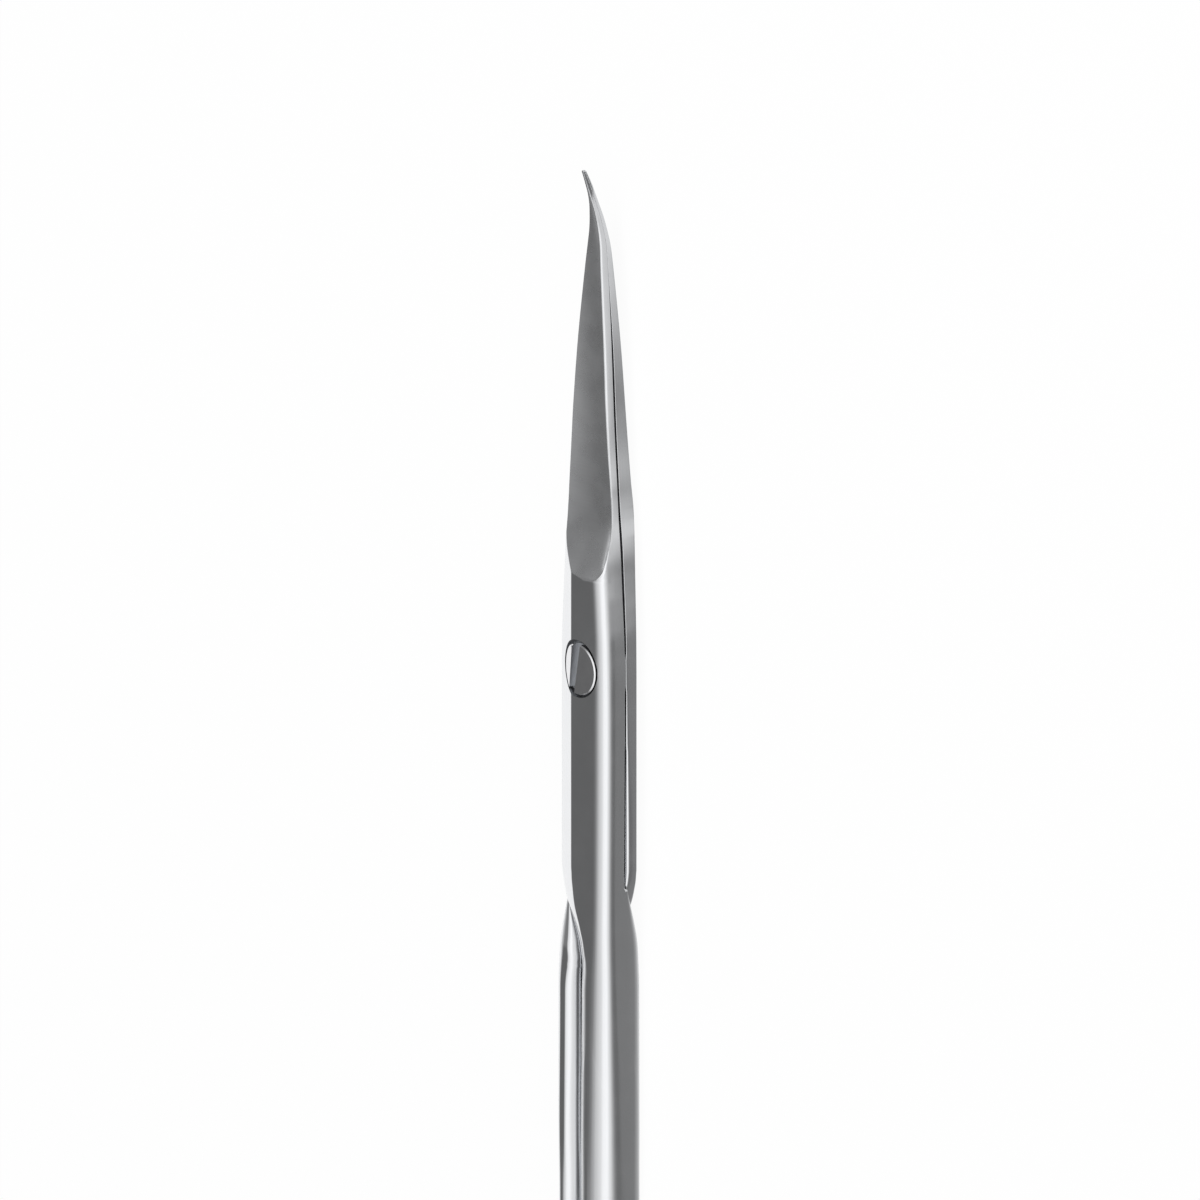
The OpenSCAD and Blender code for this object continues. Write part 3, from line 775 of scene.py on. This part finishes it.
def steel(name, colour, roughness, lines, depth, patch=2.5, uneven=0.04, streak=0.04):
    """A stainless steel finish. lines are the spacings of its polishing or grinding lines along X, Y and Z in
    millimetres, depth how deep they look in micrometres, patch the size of its duller places, uneven how much
    their gloss changes and streak how much darker the lines are."""
    material = bpy.data.materials.new(name)
    material.use_nodes = True
    tree = material.node_tree
    tree.nodes.clear()
    place = add(tree, "ShaderNodeTexCoord").outputs["Object"]
    along = add(tree, "ShaderNodeMapping", {"Vector": place, "Scale": [1 / (MM * d) for d in lines]})
    fine = add(tree, "ShaderNodeTexNoise", {"Vector": along.outputs["Vector"], "Scale": 1.0, "Detail": 3.0,
                                            "Roughness": 0.6}).outputs["Fac"]
    broad = add(tree, "ShaderNodeTexNoise", {"Vector": place, "Scale": 1 / (MM * patch), "Detail": 4.0,
                                             "Roughness": 0.55}).outputs["Fac"]
    dull = add(tree, "ShaderNodeMapRange", {"Value": broad, "From Min": 0.3, "From Max": 0.7,
                                            "To Min": roughness - uneven, "To Max": roughness + uneven})
    gloss = add(tree, "ShaderNodeMath", {0: fine, 1: uneven, 2: dull.outputs["Result"]}, operation="MULTIPLY_ADD")
    light = tuple(colour)
    dark = [c * (1 - streak) for c in light[:3]] + [1.0]
    tint = add(tree, "ShaderNodeMix", {0: fine, 6: light, 7: dark}, data_type="RGBA")
    bump = add(tree, "ShaderNodeBump", {"Height": fine, "Strength": 1.0, "Distance": depth * 1e-6})
    shader = add(tree, "ShaderNodeBsdfPrincipled", {"Base Color": tint.outputs[2], "Metallic": 1.0,
                                                    "Roughness": gloss.outputs["Value"],
                                                    "Normal": bump.outputs["Normal"]})
    add(tree, "ShaderNodeOutputMaterial", {"Surface": shader.outputs["BSDF"]})
    return material


def arm_finishes(f):
    """The arms' finishes, in the order of their faces' material numbers."""
    return [
        # Forged stainless steel, buffed along its length: sharp reflections, drawn out a little by fine lines
        steel("Buffed forged stainless steel", f.buffed, 0.13, (0.14, 5.0, 0.14), 0.35),
        # Ground across on a stone and left matt: an even grey with short fine lines
        steel("Stone ground stainless steel", f.ground, 0.26, (1.6, 0.11, 1.6), 0.9, 1.6, 0.04, 0.1),
        # Hollow ground inside of the blades: duller than the outside, with lines across
        steel("Hollow ground stainless steel", f.ground, 0.27, (2.2, 0.13, 2.2), 0.9, 2.0, 0.05, 0.08),
        # Bored and counterbored steel: dull turned walls that look dark in their shadow, with painted shade on top,
        # since their colour is set darker than the steel outside
        steel("Bored stainless steel with painted shade", f.bored, 0.33, (0.4, 0.4, 0.07), 0.8, 1.0, 0.05, 0.1),
    ]


def screw_finishes(f):
    """The screw's finishes: its outside, then its slot."""
    return [
        # Turned stainless steel, ground off with the arm: bright, with lines along the arm
        steel("Turned stainless steel", f.turned, 0.16, (0.12, 3.0, 0.12), 0.4, 1.5),
        # Milled slot: duller walls and floor with lines along the cut, in the bores' darker colour, which is painted
        # shade
        steel("Milled stainless steel with painted shade", f.bored, 0.3, (0.1, 1.6, 0.1), 1.0, 1.0, 0.05, 0.1),
    ]


def settle(name, mesh, node, sharp):
    """Turns a mesh in millimetres about the pivot into a finished piece that stands for its CAD node."""
    mesh.transform(Matrix.Scale(MM, 4))
    mesh.transform(Matrix.Translation(PIVOT))
    mesh.shade_smooth()
    mesh.set_sharp_from_angle(angle=math.radians(sharp))
    mesh.validate()
    piece = bpy.data.objects.new(name, mesh)
    flats = piece.modifiers.new("Flat faces", "WEIGHTED_NORMAL")
    flats.keep_sharp = True
    mesh_done = taken(piece)
    mesh_done.name = name
    piece = bpy.data.objects.new(name, mesh_done)
    bpy.context.scene.collection.objects.link(piece)
    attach(piece, node)
    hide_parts(node)


class SCISSORS_OT_forge_arms(bpy.types.Operator):
    """Forges, grinds and bores the two arms."""
    bl_idname = "scissors.forge_arms"
    bl_label = "Forge the arms"

    def execute(self, context):
        finishes = arm_finishes(context.scene.scissor_finish)
        near, far = (bored_arm(ArmShape(context.scene.scissor_sizes, bend), finishes) for bend in (1, -1))
        far.transform(Matrix.Rotation(math.pi, 4, "Y"))
        settle("near_arm_forging", near, "near_arm", 50)
        settle("far_arm_forging", far, "far_arm", 50)
        return {"FINISHED"}


class SCISSORS_OT_turn_screw(bpy.types.Operator):
    """Turns the pivot screw, cuts its slot and grinds its head off with the arm."""
    bl_idname = "scissors.turn_screw"
    bl_label = "Turn the screw"

    def execute(self, context):
        shape = ArmShape(context.scene.scissor_sizes, 1)
        mesh = screw_mesh(shape, screw_finishes(context.scene.scissor_finish))
        settle("pivot_screw_turned", mesh, "pivot_screw", 30)
        return {"FINISHED"}


# The photograph's view: its direction, then its place and width in millimetres, and the camera's lens
VIEW_TURN, VIEW_LIFT = math.radians(40.8), math.radians(15)
VIEW_SIDE, VIEW_UP, VIEW_WIDTH = 0.05, 4.333, 80.0
LENS, SENSOR = 1400.0, 36.0


def aim(direction, upright):
    """Turn of a camera or lamp that looks back along direction, with upright to its top."""
    back = Vector(direction).normalized()
    side = Vector(upright).cross(back).normalized()
    return Matrix((side, back.cross(side), back)).transposed()


def photo_camera():
    level = math.cos(VIEW_LIFT)
    towards = Vector((math.cos(VIEW_TURN) * level, math.sin(VIEW_LIFT), math.sin(VIEW_TURN) * level))
    look = aim(towards, (0, 1, 0))
    side, up = look.col[0], look.col[1]
    target = PIVOT + (side * VIEW_SIDE + up * VIEW_UP) * MM
    data = bpy.data.cameras.new("Photograph camera")
    data.lens, data.sensor_width, data.clip_end = LENS, SENSOR, 20.0
    camera = bpy.data.objects.new("Photograph camera", data)
    place = look.to_4x4()
    place.translation = target + towards * (VIEW_WIDTH * LENS / SENSOR * MM)
    camera.matrix_world = place
    bpy.context.scene.collection.objects.link(camera)
    bpy.context.scene.camera = camera


# Levels of the soft light by angle: 0 is level to the right of the scissors, 90 overhead, 180 level to the left.
# The first list is for light that comes from the rings' side, the second for light from the tips' side.
SCREENS_LOW = [(-180, 1.15), (-160, 1.1), (-130, 0.9), (-105, 0.7), (-85, 0.42), (-65, 0.26), (-42, 0.25), (-22, 0.185),
               (-10, 0.2), (0, 0.3), (10, 0.55), (22, 0.95), (40, 1.32), (58, 1.26), (74, 0.96), (90, 0.78),
               (104, 0.5), (116, 0.27), (128, 0.18), (140, 0.155), (150, 0.18), (158, 0.35), (166, 0.7), (174, 1.1),
               (180, 1.15)]
SCREENS_HIGH = [(-180, 1.1), (-100, 0.9), (-60, 0.88), (-30, 0.88), (0, 0.82), (20, 0.95), (45, 1.4), (70, 1.1),
                (90, 0.8), (104, 0.48), (116, 0.3), (130, 0.25), (150, 0.26), (165, 0.6), (180, 1.1)]
SCREEN_TOP = 1.5
# Directions, by how far they point to the tips, between which the first list gives way to the second
TIPS_FROM, TIPS_TO = -0.19, -0.09


def level_ramp(tree, way, screens):
    """The level of the soft light at a share of the way round."""
    ramp = add(tree, "ShaderNodeValToRGB", {"Fac": way})
    ramp.color_ramp.interpolation = "EASE"
    stops = ramp.color_ramp.elements
    while len(stops) > 1:
        stops.remove(stops[-1])
    for i, (degrees, level) in enumerate(screens):
        place = (degrees + 180) / 360
        stop = stops[0] if i == 0 else stops.new(place)
        stop.position = place
        stop.color = (level / SCREEN_TOP,) * 3 + (1.0,)
    return ramp.outputs["Color"]


def studio_world():
    """Soft light whose level changes slowly all round, as among large screens, and white where the camera sees it."""
    world = bpy.data.worlds.new("Soft studio light")
    bpy.context.scene.world = world
    world.use_nodes = True
    tree = world.node_tree
    tree.nodes.clear()
    place = add(tree, "ShaderNodeTexCoord").outputs["Generated"]
    axes = add(tree, "ShaderNodeSeparateXYZ", {"Vector": place}).outputs
    turn = add(tree, "ShaderNodeMath", {0: axes["Z"], 1: axes["X"]}, operation="ARCTAN2").outputs[0]
    way = add(tree, "ShaderNodeMapRange", {"Value": turn, "From Min": -math.pi, "From Max": math.pi}).outputs[0]
    tips = add(tree, "ShaderNodeMapRange", {"Value": axes["Y"], "From Min": TIPS_FROM, "From Max": TIPS_TO},
               interpolation_type="SMOOTHSTEP").outputs[0]
    level = add(tree, "ShaderNodeMix", {0: tips, 6: level_ramp(tree, way, SCREENS_LOW),
                                        7: level_ramp(tree, way, SCREENS_HIGH)}, data_type="RGBA")
    lit = add(tree, "ShaderNodeBackground", {"Color": level.outputs[2], "Strength": SCREEN_TOP})
    white = add(tree, "ShaderNodeBackground", {"Color": (1, 1, 1, 1), "Strength": 1.0})
    seen = add(tree, "ShaderNodeLightPath").outputs["Is Camera Ray"]
    both = add(tree, "ShaderNodeMixShader", {0: seen, 1: lit.outputs[0], 2: white.outputs[0]})
    add(tree, "ShaderNodeOutputWorld", {"Surface": both.outputs[0]})


def soft_lamp(name, direction, distance, size, watts):
    """A round lamp for the shadow on the floor, which the steel doesn't reflect."""
    data = bpy.data.lights.new(name, "AREA")
    data.shape, data.size, data.energy = "DISK", size, watts
    lamp = bpy.data.objects.new(name, data)
    lamp.visible_glossy = False
    place = aim(direction, (0, 0, 1) if abs(direction[2]) < 0.99 else (0, 1, 0)).to_4x4()
    place.translation = PIVOT + Vector(direction).normalized() * distance
    lamp.matrix_world = place
    bpy.context.scene.collection.objects.link(lamp)


# Half the paper's width in metres, its fibres' size in millimetres, and the share of white that the camera sees
FLOOR_HALF, FIBRE, PAPER_WHITE = 3.0, 0.4, 0.93


def paper_floor(colour):
    """White paper under the scissors. The camera sees it near white and it still takes their shadow."""
    mesh = bpy.data.meshes.new("paper_floor")
    mesh.from_pydata([(FLOOR_HALF * x, FLOOR_HALF * y, 0) for x, y in ((-1, -1), (1, -1), (1, 1), (-1, 1))], [],
                     [(0, 1, 2, 3)])
    material = bpy.data.materials.new("Matt white paper")
    material.use_nodes = True
    tree = material.node_tree
    tree.nodes.clear()
    place = add(tree, "ShaderNodeTexCoord").outputs["Object"]
    fibre = add(tree, "ShaderNodeTexNoise", {"Vector": place, "Scale": 1 / (MM * FIBRE), "Detail": 2.0})
    bump = add(tree, "ShaderNodeBump", {"Height": fibre.outputs["Fac"], "Strength": 0.1, "Distance": 2e-5})
    paper = add(tree, "ShaderNodeBsdfDiffuse", {"Color": colour, "Normal": bump.outputs["Normal"]})
    white = add(tree, "ShaderNodeEmission", {"Color": (1, 1, 1, 1), "Strength": 1.0})
    seen = add(tree, "ShaderNodeLightPath").outputs["Is Camera Ray"]
    shown = add(tree, "ShaderNodeMath", {0: seen, 1: PAPER_WHITE}, operation="MULTIPLY").outputs[0]
    both = add(tree, "ShaderNodeMixShader", {0: shown, 1: paper.outputs[0], 2: white.outputs[0]})
    add(tree, "ShaderNodeOutputMaterial", {"Surface": both.outputs[0]})
    mesh.materials.append(material)
    floor = bpy.data.objects.new("paper_floor", mesh)
    floor.visible_glossy = False
    bpy.context.scene.collection.objects.link(floor)


class SCISSORS_OT_set_studio(bpy.types.Operator):
    """Lays the paper floor, lights it softly and sets up the photograph's camera."""
    bl_idname = "scissors.set_studio"
    bl_label = "Set up the studio"

    def execute(self, context):
        photo_camera()
        studio_world()
        paper_floor(context.scene.scissor_finish.paper)
        soft_lamp("Key lamp", direction=(0.25, 0.62, 0.75), distance=0.9, size=0.5, watts=3.0)
        context.scene.view_settings.view_transform = "Standard"
        return {"FINISHED"}


class SCISSORS_PT_panel(bpy.types.Panel):
    """Lists the steps and sizes in the sidebar."""
    bl_idname = "SCISSORS_PT_panel"
    bl_label = "Cuticle scissors"
    bl_space_type = "VIEW_3D"
    bl_region_type = "UI"
    bl_category = "Scissors"

    def draw(self, context):
        for step in STEPS:
            self.layout.operator(step.bl_idname)
        for group in (context.scene.scissor_sizes, context.scene.scissor_finish):
            for name in group.__annotations__:
                self.layout.prop(group, name)


STEPS = (SCISSORS_OT_set_studio, SCISSORS_OT_forge_arms, SCISSORS_OT_turn_screw)
CLASSES = (ScissorSizes, ScissorFinish) + STEPS + (SCISSORS_PT_panel,)


def register():
    for item in CLASSES:
        bpy.utils.register_class(item)
    bpy.types.Scene.scissor_sizes = bpy.props.PointerProperty(type=ScissorSizes)
    bpy.types.Scene.scissor_finish = bpy.props.PointerProperty(type=ScissorFinish)


def unregister():
    del bpy.types.Scene.scissor_finish
    del bpy.types.Scene.scissor_sizes
    for item in reversed(CLASSES):
        bpy.utils.unregister_class(item)


def main():
    register()
    for step in ("set_studio", "forge_arms", "turn_screw"):
        getattr(bpy.ops.scissors, step)()


if __name__ == "__main__":
    main()
